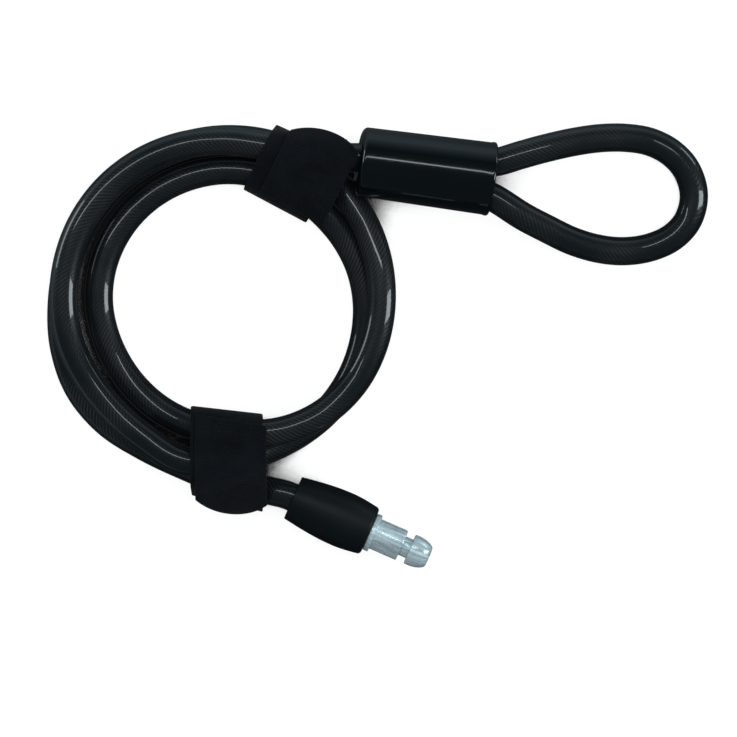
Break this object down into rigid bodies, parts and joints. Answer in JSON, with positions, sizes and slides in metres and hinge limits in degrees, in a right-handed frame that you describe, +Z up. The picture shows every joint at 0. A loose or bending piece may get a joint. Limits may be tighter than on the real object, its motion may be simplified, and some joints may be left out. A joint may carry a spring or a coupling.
{
  "type": "cable lock",
  "caption": "Coiled cable lock: sheathed wire rope with a crimped eye under a hard cover at one end, a steel plug pin in a moulded boot at the other, and hook-and-loop straps round the coil",
  "frame": {"origin": "on the surface the lock lies on, at the middle of its outline", "axes": "+X from the coil towards the eye, +Y from the plug pin's side to the cover's side, +Z up from the surface"},
  "size_m": [0.2789, 0.1862, 0.0344],
  "materials": {
    "sheath": "smoky translucent PVC, glossy",
    "rope": "galvanised strands",
    "ferrule": "crimped",
    "cover": "gloss black",
    "boot": "satin black",
    "pin": "turned and bright plated",
    "tape": "woven, matt",
    "hook": "hook tape, matt"
  },
  "bodies": {
    "lock": {"main_sheath": "sheath", "eye_sheath": "sheath", "wire_rope": "rope", "ferrule": "ferrule", "ferrule_cover": "cover", "plug_boot": "boot", "plug_pin": "pin", "upper_strap_band": "tape", "lower_strap_band": "tape"},
    "upper_tail": {"upper_strap_tail": "tape", "upper_hook_pad": "hook"},
    "lower_tail": {"lower_strap_tail": "tape", "lower_hook_pad": "hook"}
  },
  "joints": [
    {"name": "upper_tail_peel", "type": "hinge", "parent": "lock", "child": "upper_tail", "pos_m": [-0.03619, 0.05686, 0.01573], "axis": [0.8884, -0.4571, 0.0419], "range_deg": [0, 90]},
    {"name": "lower_tail_peel", "type": "hinge", "parent": "lock", "child": "lower_tail", "pos_m": [-0.0614, -0.03225, 0.02761], "axis": [-0.9692, 0.152, -0.1938], "range_deg": [0, 90]}
  ]
}
